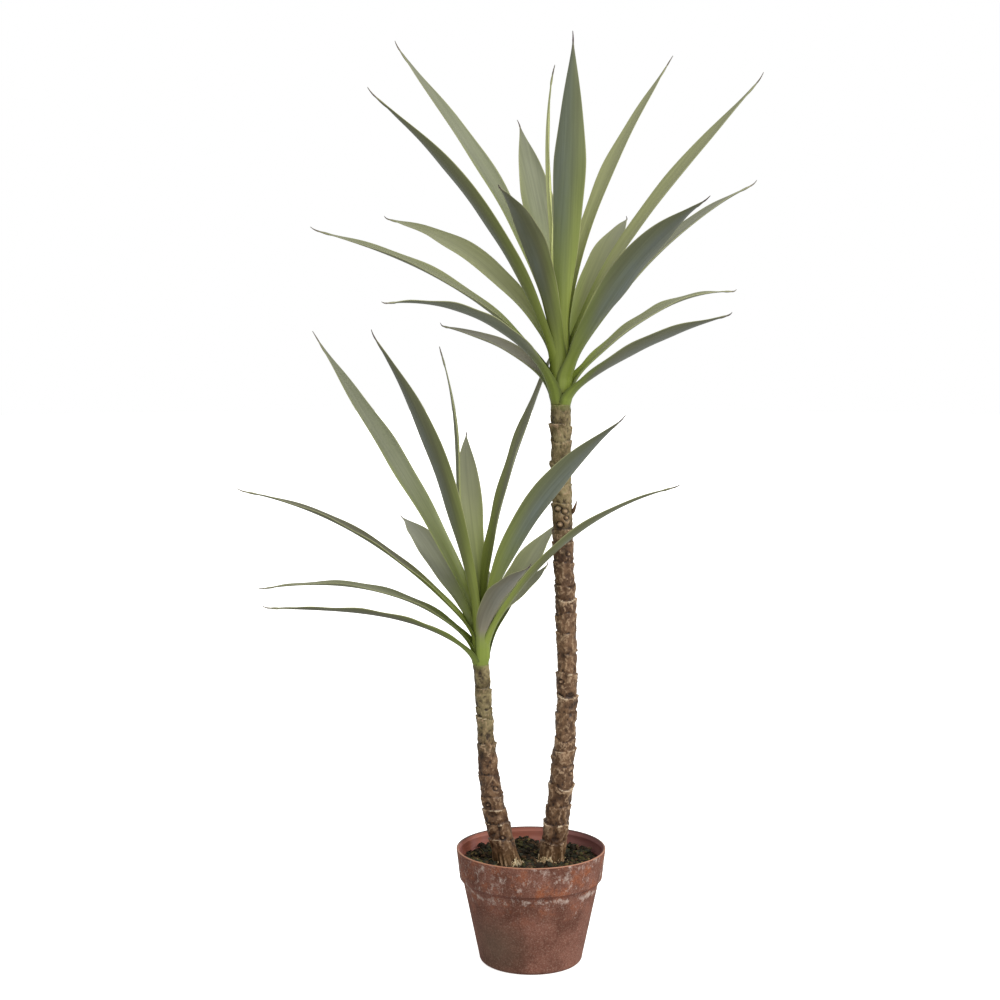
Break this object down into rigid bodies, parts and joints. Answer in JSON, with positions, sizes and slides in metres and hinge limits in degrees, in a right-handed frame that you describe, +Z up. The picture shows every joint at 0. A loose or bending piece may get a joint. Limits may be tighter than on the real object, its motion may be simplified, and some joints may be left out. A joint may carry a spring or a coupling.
{
  "type": "artificial potted yucca",
  "caption": "Faux yucca plant: two ringed bark stems, each with a head of long sword-shaped leaves, standing in moss in a round tapered pot with a collared rim.",
  "frame": {"origin": "centre of the pot's flat underside, on the surface it stands on", "axes": "+Z up, +X to the right and -Y to the front of the picture's view, with the tall stem on the right"},
  "size_m": [0.6324, 0.3952, 1.1103],
  "materials": {
    "pot_shell": "matte",
    "moss_fill": "matte",
    "bark": "matte",
    "heart": "satin",
    "leaf": "satin"
  },
  "bodies": {
    "root": {"pot": "pot_shell", "moss": "moss_fill", "stem_tall": "bark", "stem_short": "bark", "heart_tall": "heart", "heart_short": "heart", "leaf_tall_01": "leaf", "leaf_tall_02": "leaf", "leaf_tall_03": "leaf", "leaf_tall_04": "leaf", "leaf_tall_05": "leaf", "leaf_tall_06": "leaf", "leaf_tall_07": "leaf", "leaf_tall_08": "leaf", "leaf_tall_09": "leaf", "leaf_tall_10": "leaf", "leaf_tall_11": "leaf", "leaf_tall_12": "leaf", "leaf_tall_13": "leaf", "leaf_tall_14": "leaf", "leaf_tall_15": "leaf", "leaf_tall_16": "leaf", "leaf_tall_17": "leaf", "leaf_tall_18": "leaf", "leaf_short_01": "leaf", "leaf_short_02": "leaf", "leaf_short_03": "leaf", "leaf_short_04": "leaf", "leaf_short_05": "leaf", "leaf_short_06": "leaf", "leaf_short_07": "leaf", "leaf_short_08": "leaf", "leaf_short_09": "leaf", "leaf_short_10": "leaf", "leaf_short_11": "leaf", "leaf_short_12": "leaf", "leaf_short_13": "leaf", "leaf_short_14": "leaf", "leaf_short_15": "leaf"}
  },
  "joints": []
}
